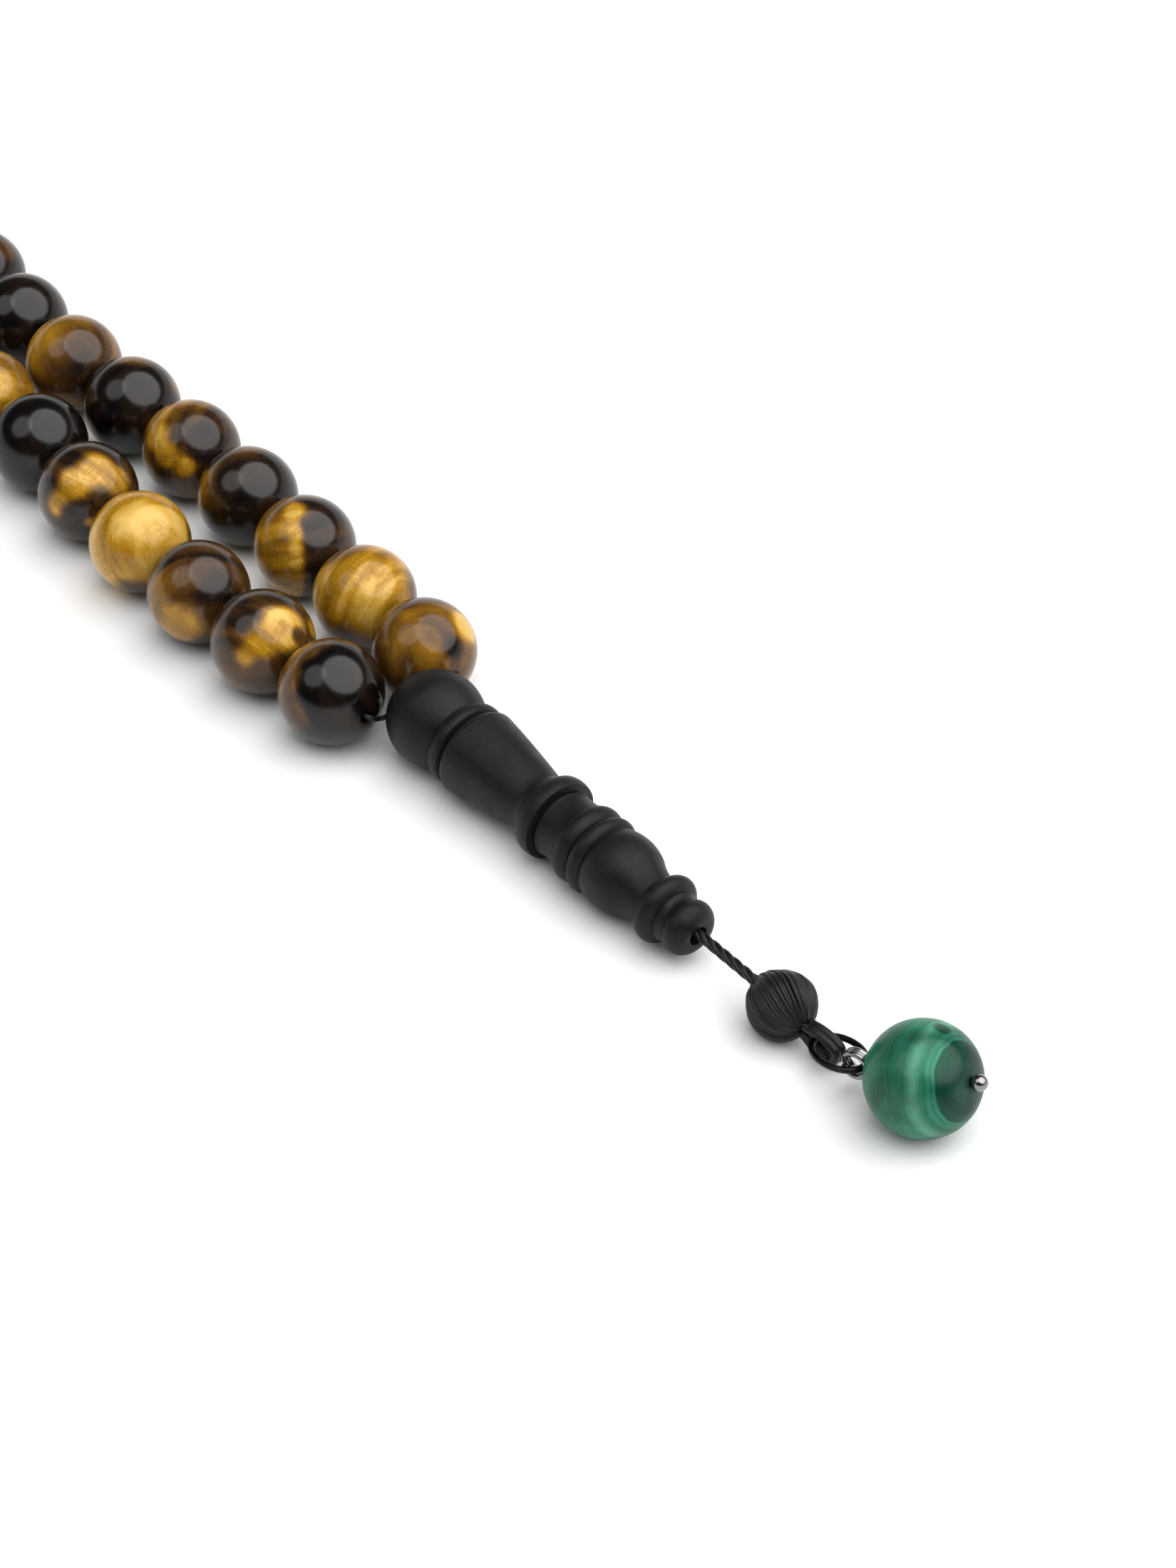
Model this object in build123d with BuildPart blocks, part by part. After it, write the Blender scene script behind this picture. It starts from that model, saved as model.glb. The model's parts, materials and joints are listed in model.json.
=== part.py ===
"""Misbaha prayer beads: 33 stone beads and two pause beads on one string, which is gathered by a turned
imame (leader bead) and ends in a thread-wrapped ball, a cord loop, a jump ring and a stone pendant bead.

The beads lie on a table. +X runs from the far end of the loop to the pendant, +Z is up, and the origin is
on the table under the middle of the whole piece. Millimetres and degrees."""

from build123d import *
import os
from math import asin, cos, degrees, pi, radians, sin, sqrt, tan

os.makedirs("parts", exist_ok=True)

# ---- driving dimensions -------------------------------------------------------------------------------
bead_d = 10.0  # tiger's eye beads
bead_gap = 0.06  # play left between neighbours on the string
bore_d = 1.0
bore_chamfer = 0.2
beads_per_set = 11  # three sets of eleven, told apart by the pause beads

pause_d = 9.0
pause_length = 7.0
pause_face_r = 2.2
pause_rim_r = 2.5
pause_bead_r = 2.9  # small raised ring at each end of the spool

string_d = 0.5
strand_play = 0.01  # half the gap between the two strands in the imame's bore
lead_out = 0.62  # the string runs this far straight out of the first bead before it turns
corner_room = 0.8  # length of string, each side of a gap, that the bend between two beads takes up

dome_r = 4.65  # rounded head of the imame
imame_bore_d = 1.9
funnel_r = 2.8  # mouth of the bore, flared into the dome
tip_x = 36.4  # along the imame, from the dome's centre to its tip
imame_tilt = 1.85  # it rests on its dome and its flange, so its tip points down a little
imame_x = 55.25  # where the dome's centre stands over the table
imame_y = -0.69

tail_cord_d = 1.05  # the string's two ends laid together
cord_lift = 0.3  # the cords run in the upper half of the imame's bore
splice_x = 12.0  # along the imame from the dome's centre, where the two ends come together

ball_x = 47.05  # along the imame's axis, from the dome's centre
ball_r = 3.1
core_r = 2.3
wrap_play = 0.05
core_flat = 2.2  # the loop's cords are seated on this flat
loop_hole_r = 1.12  # clears the four cords of the loop

loop_cord_d = 0.85
loop_pitch = 0.87  # the two turns of the loop lie side by side
loop_azimuth = 5.0
loop_droop = 13.3
loop_half_height = 0.92
leg_offset = 0.44  # from the loop's middle to the cord's centre, where it leaves the ball
leg_bend_r = 1.2
loop_end_r = 0.87
loop_reach = 6.47  # from the ball's centre to the cord's centre at the end of the loop

ring_wire_d = 0.58
ring_half_length = 2.78  # wire centre to ring centre, along and across
ring_half_width = 1.81
ring_rise = 8.7

pendant_d = 10.1
pendant_bore_d = 0.7
pin_wire_d = 0.6
pin_head_d = 1.45
pin_head_seat = 0.05  # how far the pin's ball end sits into the mouth of the bore
pin_azimuth = 15.0
pin_elevation = 26.0
eye_r = 1.15  # centre of the wire round the eye
eye_wire_d = 0.5
eye_pitch = 0.46
eye_back = 6.45  # from the pendant's centre to the eye's centre, along the pin


def flat_direction(angle):
    """Unit vector in the table's plane."""
    return Vector(cos(radians(angle)), sin(radians(angle)), 0)


def tilted_direction(azimuth, elevation):
    """Unit vector at an elevation above the table's plane."""
    return flat_direction(azimuth) * cos(radians(elevation)) + Vector(0, 0, sin(radians(elevation)))


def save(part, name):
    """Labels a finished piece and writes it out."""
    part.label = name
    export_step(part, f"parts/{name}.step")


# ---- where the beads sit on the string ----------------------------------------------------------------
# Each entry is the way the string runs through one piece, going away from the imame.
# The far strand goes all round the end of the loop, and the near strand comes to meet it.
far_headings = [175, 177, 178, 176, 180, 182, 181, 177, 168, 164, 162]
far_pause_heading = 161
middle_headings = [164, 169, 177, 192, 212, 238, 266, 294, 322, 349, 369]
near_pause_heading = 380
near_return_headings = [381, 374]
near_headings = [183, 182, 180, 177, 174, 176, 181, 189]

dome_centre = Vector(imame_x, imame_y, dome_r)
bead_height = Vector(0, 0, bead_d / 2 - dome_r)
far_mouth = dome_centre + Vector(-3.25, 4.7) + bead_height
near_mouth = dome_centre + Vector(-4.0, -4.95) + bead_height


def seat_pieces(mouth, headings, half_lengths):
    """Centres and corner points of pieces threaded one after another, touching but for their play."""
    corner = mouth
    corners = [corner]
    centres = []
    for i, heading in enumerate(headings):
        turn_in = abs(heading - headings[i - 1]) if i else 0
        turn_out = abs(headings[i + 1] - heading) if i < len(headings) - 1 else 0
        reach = half_lengths[i] + bead_gap / 2
        centre = corner + flat_direction(heading) * (reach / cos(radians(turn_in / 2)))
        corner = centre + flat_direction(heading) * (reach / cos(radians(turn_out / 2)))
        centres.append(centre)
        corners.append(corner)
    return centres, corners


long_way = [("far_bead", i + 1, a) for i, a in enumerate(far_headings)]
long_way += [("far_pause_bead", 0, far_pause_heading)]
long_way += [("middle_bead", i + 1, a) for i, a in enumerate(middle_headings)]
long_way += [("near_pause_bead", 0, near_pause_heading)]
long_way += [("near_bead", beads_per_set - i, a) for i, a in enumerate(near_return_headings)]
short_way = [("near_bead", i + 1, a) for i, a in enumerate(near_headings)]


def half_length(kind):
    return pause_length / 2 if "pause" in kind else bead_d / 2


long_centres, long_corners = seat_pieces(
    far_mouth, [a for _, _, a in long_way], [half_length(kind) for kind, _, _ in long_way]
)
short_centres, short_corners = seat_pieces(
    near_mouth, [a for _, _, a in short_way], [half_length(kind) for kind, _, _ in short_way]
)

# The bare stretch between the two strands is straight. One bead stands on it, and slides along it.
slack_start = long_corners[-1]
slack_end = short_corners[-1]
slack_direction = (slack_end - slack_start).normalized()
counting_bead_centre = slack_start + slack_direction * (bead_d + bead_gap) / 2
slack = (slack_end - slack_start).length - bead_d - bead_gap

seats = [(*piece, centre) for piece, centre in zip(long_way + short_way, long_centres + short_centres)]
threaded = [(kind, number, flat_direction(angle), centre) for kind, number, angle, centre in seats]
threaded.append(("near_bead", beads_per_set - len(near_return_headings), slack_direction, counting_bead_centre))

# ---- stone beads --------------------------------------------------------------------------------------
for kind, number, direction, centre in threaded:
    if "pause" in kind:
        continue
    with BuildPart(Plane(origin=centre, z_dir=direction)) as bead:
        Sphere(bead_d / 2)
        Cylinder(bore_d / 2, bead_d, mode=Mode.SUBTRACT)
        chamfer(bead.edges().filter_by(GeomType.CIRCLE), bore_chamfer)
    save(bead.part, f"{kind}_{number:02d}")

# ---- pause beads: short turned spools with a rounded middle --------------------------------------------
for kind, number, direction, centre in threaded:
    if "pause" not in kind:
        continue
    half = pause_length / 2
    side = Plane(origin=centre, x_dir=direction, z_dir=direction.cross(Vector(0, 0, 1)))
    with BuildPart() as pause_bead:
        with BuildSketch(side):
            with BuildLine():
                Polyline((-half, bore_d / 2), (-half, pause_face_r), (0.3 - half, pause_rim_r))
                ThreePointArc((0.3 - half, pause_rim_r), (0.9 - half, pause_bead_r), (1.4 - half, pause_rim_r))
                ThreePointArc((1.4 - half, pause_rim_r), (0, pause_d / 2), (half - 1.4, pause_rim_r))
                ThreePointArc((half - 1.4, pause_rim_r), (half - 0.9, pause_bead_r), (half - 0.3, pause_rim_r))
                Polyline((half - 0.3, pause_rim_r), (half, pause_face_r), (half, bore_d / 2))
                Line((half, bore_d / 2), (-half, bore_d / 2))
            make_face()
        revolve(axis=Axis(centre, direction))
    save(pause_bead.part, kind)

# ---- imame: one turned piece with a flared mouth and a straight bore ------------------------------------
imame_axis = tilted_direction(0, -imame_tilt)
along_imame = Plane(origin=dome_centre, x_dir=imame_axis, z_dir=(0, -1, 0))
funnel_x = -sqrt(dome_r**2 - funnel_r**2)
bore_r = imame_bore_d / 2

with BuildPart() as imame:
    with BuildSketch(along_imame):
        with BuildLine():
            ThreePointArc((funnel_x, funnel_r), (-1.9, sqrt(dome_r**2 - 1.9**2)), (0, dome_r))
            ThreePointArc((0, dome_r), (1.9, 4.27), (3.4, 3.38))
            Line((3.4, 3.38), (3.62, 3.9))
            ThreePointArc((3.62, 3.9), (4.3, 4.17), (4.98, 4.05))
            Polyline((4.98, 4.05), (5.22, 3.6), (5.5, 3.95))
            ThreePointArc((5.5, 3.95), (5.75, 4.22), (6.2, 4.33))
            ThreePointArc((6.2, 4.33), (10.5, 3.74), (14.7, 3.02))
            ThreePointArc((14.7, 3.02), (15.55, 3.3), (16.15, 3.88))
            ThreePointArc((16.15, 3.88), (16.95, 4.05), (17.7, 3.92))
            Polyline((17.7, 3.92), (17.82, 3.1), (18.02, 3.1), (18.08, 3.26))
            ThreePointArc((18.08, 3.26), (18.2, 3.32), (18.32, 3.24))
            ThreePointArc((18.32, 3.24), (19.4, 3.24), (20.6, 3.36))
            Line((20.6, 3.36), (20.78, 3.58))
            ThreePointArc((20.78, 3.58), (21.65, 3.86), (22.5, 3.52))
            Polyline((22.5, 3.52), (22.62, 3.32), (22.76, 3.54))
            ThreePointArc((22.76, 3.54), (23.45, 3.86), (24.1, 3.52))
            Polyline((24.1, 3.52), (24.24, 3.3), (24.42, 3.5))
            ThreePointArc((24.42, 3.5), (26.2, 3.79), (28.2, 3.34))
            ThreePointArc((28.2, 3.34), (29.4, 2.74), (30.75, 2.38))
            ThreePointArc((30.75, 2.38), (31.0, 2.46), (31.15, 2.72))
            ThreePointArc((31.15, 2.72), (31.95, 3.36), (32.95, 2.78))
            Polyline((32.95, 2.78), (33.1, 2.52), (33.3, 2.56))
            ThreePointArc((33.3, 2.56), (33.75, 2.36), (34.15, 2.4))
            ThreePointArc((34.15, 2.4), (35.1, 2.66), (tip_x, bore_r + 0.2))
            Polyline((tip_x, bore_r + 0.2), (tip_x, bore_r), (-1.6, bore_r))
            ThreePointArc((-1.6, bore_r), (-2.9, 1.6), (funnel_x, funnel_r))
        make_face()
    revolve(axis=Axis(dome_centre, imame_axis))
save(imame.part, "imame")

# ---- string through the beads ---------------------------------------------------------------------------
in_bore = Plane(origin=dome_centre, x_dir=imame_axis, z_dir=imame_axis.cross(Vector(0, 1, 0)))
strand_spread = string_d / 2 + strand_play
far_lead = far_mouth - flat_direction(far_headings[0]) * lead_out
near_lead = near_mouth - flat_direction(near_headings[0]) * lead_out

# From the splice in the imame, out of its funnel and down through the pocket beside the dome.
far_pocket = [(-4.35, 1.05, -1.15), (-4.04, 2.52, -1.95), (-2.95, 4.35, -1.55)]
near_pocket = [(-4.4, -2.54, -1.25), (-4.3, -1.0, -0.9)]

string_points = [in_bore.from_local_coords((splice_x, strand_spread, cord_lift))]
string_points.append(in_bore.from_local_coords((-1.0, strand_spread, cord_lift)))
string_points += [dome_centre + Vector(*p) for p in far_pocket]
string_points.append(far_lead)
first_bead_corner = len(string_points)
string_points += long_corners[1:]
string_points += short_corners[:0:-1]
last_bead_corner = len(string_points) - 1
string_points.append(near_lead)
string_points += [dome_centre + Vector(*p) for p in near_pocket]
string_points.append(in_bore.from_local_coords((-1.0, -strand_spread, cord_lift)))
string_points.append(in_bore.from_local_coords((splice_x, -strand_spread, cord_lift)))


def bend_radii(points, first_held, last_held):
    """Radius of each corner: short where a bead holds the string, as large as its runs allow elsewhere."""
    radii = []
    for i in range(1, len(points) - 1):
        run_in = points[i] - points[i - 1]
        run_out = points[i + 1] - points[i]
        half_turn = tan(radians(run_in.get_angle(run_out) / 2))
        room = 0.45 * min(run_in.length, run_out.length)
        if first_held <= i <= last_held:
            room = corner_room
        radii.append(room / half_turn)
    return radii


string_radii = bend_radii(string_points, first_bead_corner, last_bead_corner)
with BuildPart() as loop_string:
    with BuildLine() as string_path:
        FilletPolyline(*string_points, radius=string_radii)
    with BuildSketch(Plane(origin=string_points[0], z_dir=string_path.line % 0)):
        Circle(string_d / 2)
    sweep()
save(loop_string.part, "loop_string")

# ---- tail cord, from the splice to the middle of the ball ------------------------------------------------
splice = in_bore.from_local_coords((splice_x, 0, cord_lift))
with BuildPart(Plane(origin=splice, z_dir=imame_axis)) as tail_cord:
    Cylinder(tail_cord_d / 2, ball_x - splice_x, align=(Align.CENTER, Align.CENTER, Align.MIN))
save(tail_cord.part, "tail_cord")

# ---- ball: thread wound over a small drilled core --------------------------------------------------------
ball_centre = in_bore.from_local_coords((ball_x, 0, 0))
cord_end = in_bore.from_local_coords((ball_x, 0, cord_lift))
loop_axis = tilted_direction(loop_azimuth, -loop_droop)
cord_hole = Plane(origin=cord_end, z_dir=-imame_axis)
loop_seat = Plane(origin=ball_centre + loop_axis * core_flat, z_dir=loop_axis)
from_end = (Align.CENTER, Align.CENTER, Align.MIN)
seam_aside = (0, 0, 90)  # turns the spheres' seams away from the holes

with BuildPart() as wrap_core:
    with Locations(ball_centre):
        Sphere(core_r, rotation=seam_aside)
    with Locations(cord_hole.location):
        Cylinder(tail_cord_d / 2 + wrap_play, core_r, align=from_end, mode=Mode.SUBTRACT)
    with Locations(loop_seat.location):
        Cylinder(core_r, core_r, align=from_end, mode=Mode.SUBTRACT)
save(wrap_core.part, "wrap_core")

with BuildPart() as thread_wrap:
    with Locations(ball_centre):
        Sphere(ball_r, rotation=seam_aside)
        Sphere(core_r + wrap_play, rotation=seam_aside, mode=Mode.SUBTRACT)
    with Locations(cord_hole.location):
        Cylinder(tail_cord_d / 2 + wrap_play, 2 * ball_r, align=from_end, mode=Mode.SUBTRACT)
    with Locations(loop_seat.location):
        Cylinder(loop_hole_r, ball_r, align=from_end, mode=Mode.SUBTRACT)
save(thread_wrap.part, "thread_wrap")

# ---- cord loop: two turns side by side, round the jump ring ----------------------------------------------
loop_side = loop_axis.cross(Vector(0, 0, 1)).normalized()
leg_start = core_flat + 0.02
loop_outline = [(leg_start, leg_offset), (ball_r, leg_offset), (4.25, loop_half_height)]
loop_outline += [(loop_reach, loop_half_height - 0.02)]
loop_outline += [(x, -y) for x, y in reversed(loop_outline)]
loop_bend_radii = [leg_bend_r, leg_bend_r, loop_end_r, loop_end_r, leg_bend_r, leg_bend_r]

with BuildPart() as cord_loop:
    for offset in (-loop_pitch / 2, loop_pitch / 2):
        turn_plane = Plane(origin=ball_centre + loop_side * offset, x_dir=loop_axis, z_dir=loop_side)
        with BuildLine(turn_plane) as turn_path:
            FilletPolyline(*loop_outline, radius=loop_bend_radii)
        with BuildSketch(Plane(origin=turn_path.line @ 0, z_dir=turn_path.line % 0)):
            Circle(loop_cord_d / 2)
        sweep(path=turn_path.wire())
save(cord_loop.part, "cord_loop")

# ---- jump ring --------------------------------------------------------------------------------------------
ring_centre = dome_centre + Vector(53.97, 0.25, 2.52 - dome_r)
ring_long_way = tilted_direction(0, ring_rise)
ring_plane = Plane(origin=ring_centre, x_dir=ring_long_way, z_dir=tilted_direction(0, ring_rise + 90))
with BuildPart() as jump_ring:
    with BuildLine(ring_plane) as ring_path:
        EllipticalCenterArc((0, 0), ring_half_length, ring_half_width, start_angle=0, arc_size=180)
        EllipticalCenterArc((0, 0), ring_half_length, ring_half_width, start_angle=180, arc_size=180)
    with BuildSketch(Plane(origin=ring_path.line @ 0, z_dir=ring_path.line % 0)):
        Circle(ring_wire_d / 2)
    sweep(path=ring_path.wire())
save(jump_ring.part, "jump_ring")

# ---- pendant: stone bead on a headpin whose wire ends in a wound eye --------------------------------------
pin_axis = tilted_direction(pin_azimuth, pin_elevation)
pin_up = tilted_direction(pin_azimuth, pin_elevation + 90)
pendant_centre = dome_centre + Vector(62.42, 1.72, pendant_d / 2 - dome_r)
pin_plane = Plane(origin=pendant_centre, x_dir=pin_up, z_dir=pin_axis)

with BuildPart(pin_plane) as pendant_bead:
    Sphere(pendant_d / 2)
    Cylinder(pendant_bore_d / 2, pendant_d, mode=Mode.SUBTRACT)
    chamfer(pendant_bead.edges().filter_by(GeomType.CIRCLE), bore_chamfer / 2)
save(pendant_bead.part, "pendant_bead")

pin_head_z = pendant_d / 2 + pin_head_d / 2 - pin_head_seat
with BuildPart(pin_plane) as headpin:
    with Locations((0, 0, -eye_back)):
        Cylinder(pin_wire_d / 2, eye_back + pin_head_z, align=from_end)
    with Locations((0, 0, pin_head_z)):
        Sphere(pin_head_d / 2)
    for offset in (-eye_pitch / 2, eye_pitch / 2):
        with Locations(Location((eye_r, offset, -eye_back), (90, 0, 0))):
            Torus(eye_r, eye_wire_d / 2)
save(headpin.part, "headpin")

# ---- a few measures to read after a build -----------------------------------------------------------------
string_length = string_path.wire().length
print("slack", round(slack, 2), "string length", round(string_length, 1), "smallest bend", round(min(string_radii), 2))
print("volume over section times length", loop_string.part.volume / (pi * string_d**2 / 4 * string_length))
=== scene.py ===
import json
import random
from math import acos, asin, atan2, cos, degrees, hypot, pi, radians, sin, sqrt, tan

import bmesh
import bpy
from mathutils import Matrix, Vector


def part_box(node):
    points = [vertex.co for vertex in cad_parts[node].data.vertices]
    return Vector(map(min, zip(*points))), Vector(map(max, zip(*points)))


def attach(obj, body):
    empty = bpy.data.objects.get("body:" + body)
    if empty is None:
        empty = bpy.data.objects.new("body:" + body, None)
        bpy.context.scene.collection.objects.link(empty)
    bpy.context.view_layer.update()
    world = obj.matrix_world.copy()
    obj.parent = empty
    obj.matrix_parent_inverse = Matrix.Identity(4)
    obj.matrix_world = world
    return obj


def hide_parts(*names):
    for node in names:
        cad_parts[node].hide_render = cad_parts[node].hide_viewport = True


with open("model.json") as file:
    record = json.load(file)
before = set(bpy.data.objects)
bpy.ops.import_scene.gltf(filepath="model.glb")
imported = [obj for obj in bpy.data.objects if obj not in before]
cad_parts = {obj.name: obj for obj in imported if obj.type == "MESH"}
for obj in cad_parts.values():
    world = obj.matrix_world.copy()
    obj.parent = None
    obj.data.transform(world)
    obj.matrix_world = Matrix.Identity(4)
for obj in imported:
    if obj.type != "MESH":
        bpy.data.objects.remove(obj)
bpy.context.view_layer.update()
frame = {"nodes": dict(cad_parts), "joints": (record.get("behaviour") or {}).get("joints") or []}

joints = {joint["child"]: joint for joint in frame["joints"]}
mm = 0.001

# ---- Camera ------------------------------------------------------------------------------------------
# It stands in front of the pendant end and to the right, and looks down along the beads.
head_r = 4.65
imame_head = Vector((55.25, -0.69, head_r)) * mm  # centre of the imame's domed head
camera_from_head = Vector((210.976, -159.933, 221.934)) * mm
camera_heading = 139.818
camera_pitch = 41.001

camera = bpy.data.objects.new("camera", bpy.data.cameras.new("camera"))
camera.data.lens = 86.254
camera.data.clip_start = 0.01
camera.location = imame_head + camera_from_head
camera.rotation_euler = (radians(90 - camera_pitch), 0, radians(camera_heading - 90))
bpy.context.scene.collection.objects.link(camera)
bpy.context.scene.camera = camera

view_along = Vector((cos(radians(camera_heading)), sin(radians(camera_heading)), 0))
view_right = view_along.cross(Vector((0, 0, 1)))
view_back = (camera.location - imame_head).normalized()
view_up = view_back.cross(view_right)


def facing(right, up, near):
    """Unit vector given by how far it points right, up and towards someone standing at the camera."""
    return (view_right * right + view_up * up + view_back * near).normalized()


# ---- Tail cord ---------------------------------------------------------------------------------------
# The string's two ends, twisted together. Each has two plies, so four run round each other. They leave the
# imame's tip and end inside the ball, which is the knot that keeps the imame on.
imame_tilt = 1.85
imame_axis = Vector((cos(radians(imame_tilt)), 0, -sin(radians(imame_tilt))))
imame_up = imame_axis.cross(Vector((0, 1, 0)))
cord_lift = 0.3 * mm
ply_d = 0.52 * mm
ply_count = 4
ply_sides = 10
tail_cord_d = 1.05 * mm
splice_x = 12.0 * mm
ball_x = 47.05 * mm
tail_twist = 5.2 * mm  # length of cord for one full turn of the plies


def on_imame(along, up=0.0):
    """A point given by its distance along the imame's axis from the centre of its head, and above it."""
    return imame_head + imame_axis * along + imame_up * up


def smooth_route(name, points):
    """The points of the smooth line that a cord takes between given points."""
    curve = bpy.data.curves.new(name, "CURVE")
    curve.dimensions = "3D"
    curve.resolution_u = 24
    spline = curve.splines.new("NURBS")
    spline.points.add(len(points) - 1)
    for spline_point, point in zip(spline.points, points):
        spline_point.co = (*point, 1)
    spline.use_endpoint_u = True
    spline.order_u = 3
    holder = bpy.data.objects.new(name, curve)
    line = bpy.data.meshes.new_from_object(holder)
    found = [v.co.copy() for v in line.vertices]
    bpy.data.objects.remove(holder)
    bpy.data.curves.remove(curve)
    bpy.data.meshes.remove(line)
    return found


def sweep_tube(grid, line, radius, sides, closed=False):
    """Adds a round tube along a line to a bmesh. Each point keeps how far along and round the tube it is."""
    along = grid.verts.layers.float_vector.get("along") or grid.verts.layers.float_vector.new("along")
    count = len(line)
    side = None
    rings = []
    travelled = 0.0
    for i, point in enumerate(line):
        ahead = line[(i + 1) % count] if closed or i < count - 1 else point
        behind = line[i - 1] if closed or i > 0 else point
        heading = (ahead - behind).normalized()
        if side is None:
            side = heading.orthogonal().normalized()
        side = (side - heading * side.dot(heading)).normalized()
        across = heading.cross(side)
        if i:
            travelled += (point - line[i - 1]).length
        ring = []
        for j in range(sides):
            turn = 2 * pi * j / sides
            vert = grid.verts.new(point + side * (radius * cos(turn)) + across * (radius * sin(turn)))
            vert[along] = (travelled / mm, radius * cos(turn) / mm, radius * sin(turn) / mm)
            ring.append(vert)
        rings.append(ring)
    pairs = list(zip(rings, rings[1:]))
    if closed:
        pairs.append((rings[-1], rings[0]))
    for low, high in pairs:
        for j in range(sides):
            k = (j + 1) % sides
            grid.faces.new((low[j], low[k], high[k], high[j]))
    if not closed:
        grid.faces.new(reversed(rings[0]))
        grid.faces.new(rings[-1])


def finish_mesh(name, grid, material, sharp=50):
    """Turns a bmesh into a smooth-shaded object with its faces pointing out."""
    bmesh.ops.recalc_face_normals(grid, faces=grid.faces)
    mesh = bpy.data.meshes.new(name)
    grid.to_mesh(mesh)
    grid.free()
    mesh.shade_smooth()
    mesh.set_sharp_from_angle(angle=radians(sharp))
    mesh.materials.append(material)
    piece = bpy.data.objects.new(name, mesh)
    bpy.context.scene.collection.objects.link(piece)
    return piece


def new_material(name):
    """An empty material: its tree, its Principled shader."""
    material = bpy.data.materials.new(name)
    material.use_nodes = True
    return material, material.node_tree, material.node_tree.nodes["Principled BSDF"]


def add_node(tree, kind, inputs=None, **settings):
    """Adds a node and fills its inputs, each with a value or with the socket that feeds it."""
    node = tree.nodes.new(kind)
    for key, value in settings.items():
        setattr(node, key, value)
    for key, value in (inputs or {}).items():
        if isinstance(value, bpy.types.NodeSocket):
            tree.links.new(value, node.inputs[key])
        else:
            node.inputs[key].default_value = value
    return node


def fill_ramp(ramp, stops):
    """Sets a colour ramp's stops, each a place and a colour."""
    elements = ramp.color_ramp.elements
    while len(elements) < len(stops):
        elements.new(0.5)
    for element, (place, colour) in zip(elements, stops):
        element.position = place
        element.color = (*colour, 1)


def fibre_group():
    """Node group for fine lines along a direction: stretched noise, with a slow variation over it."""
    tree = bpy.data.node_groups.new("fine_fibres", "ShaderNodeTree")
    tree.interface.new_socket("Place", in_out="INPUT", socket_type="NodeSocketVector")
    tree.interface.new_socket("Stretch", in_out="INPUT", socket_type="NodeSocketVector")
    tree.interface.new_socket("Detail", in_out="INPUT", socket_type="NodeSocketFloat")
    tree.interface.new_socket("Lines", in_out="OUTPUT", socket_type="NodeSocketFloat")
    tree.interface.new_socket("Clouds", in_out="OUTPUT", socket_type="NodeSocketFloat")
    outside = tree.nodes.new("NodeGroupInput")
    drawn = add_node(
        tree, "ShaderNodeVectorMath",
        {0: outside.outputs["Place"], 1: outside.outputs["Stretch"]}, operation="MULTIPLY",
    )
    lines = add_node(
        tree, "ShaderNodeTexNoise",
        {"Vector": drawn.outputs[0], "Scale": 1.0, "Detail": outside.outputs["Detail"], "Roughness": 0.6},
    )
    clouds = add_node(
        tree, "ShaderNodeTexNoise", {"Vector": outside.outputs["Place"], "Scale": 0.45, "Detail": 3.0}
    )
    result = tree.nodes.new("NodeGroupOutput")
    tree.links.new(lines.outputs["Fac"], result.inputs["Lines"])
    tree.links.new(clouds.outputs["Fac"], result.inputs["Clouds"])
    return tree


fine_fibres = fibre_group()


def kept_place(tree, attribute):
    """The place that a mesh keeps for each of its points, in millimetres."""
    return add_node(tree, "ShaderNodeAttribute", attribute_name=attribute).outputs["Vector"]


def object_place(tree):
    """Object coordinates, in millimetres."""
    where = add_node(tree, "ShaderNodeTexCoord").outputs["Object"]
    return add_node(tree, "ShaderNodeVectorMath", {0: where, "Scale": 1 / mm}, operation="SCALE").outputs[0]


def fibres_over(tree, place, stretch, detail):
    """Lays the fine fibres over a surface."""
    return add_node(
        tree, "ShaderNodeGroup", {"Place": place, "Stretch": stretch, "Detail": detail}, node_tree=fine_fibres
    )


def from_noise(tree, noise, low, high):
    """Stretches the middle of a noise, where nearly all of it lies, over a range."""
    mapped = add_node(
        tree, "ShaderNodeMapRange",
        {"Value": noise, "From Min": 0.3, "From Max": 0.7, "To Min": low, "To Max": high},
    )
    return mapped.outputs["Result"]


def waxed_cord_material(name, stretch, attribute=None):
    """Black waxed thread: fine fibres, with dull and slightly glossy stretches."""
    material, tree, shader = new_material(name)
    place = kept_place(tree, attribute) if attribute else object_place(tree)
    fibres = fibres_over(tree, place, stretch, 3.0)
    colour = add_node(tree, "ShaderNodeValToRGB", {"Fac": fibres.outputs["Lines"]})
    fill_ramp(colour, [(0.35, (0.002, 0.002, 0.002)), (0.75, (0.012, 0.011, 0.010))])
    rough = from_noise(tree, fibres.outputs["Clouds"], 0.22, 0.42)
    bump = add_node(
        tree, "ShaderNodeBump", {"Height": fibres.outputs["Lines"], "Strength": 0.7, "Distance": 0.00005}
    )
    tree.links.new(colour.outputs["Color"], shader.inputs["Base Color"])
    tree.links.new(rough, shader.inputs["Roughness"])
    tree.links.new(bump.outputs["Normal"], shader.inputs["Normal"])
    shader.inputs["Specular IOR Level"].default_value = 0.26
    return material


cord_black = waxed_cord_material("waxed_cord", (0.6, 9.0, 9.0), "along")

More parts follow.
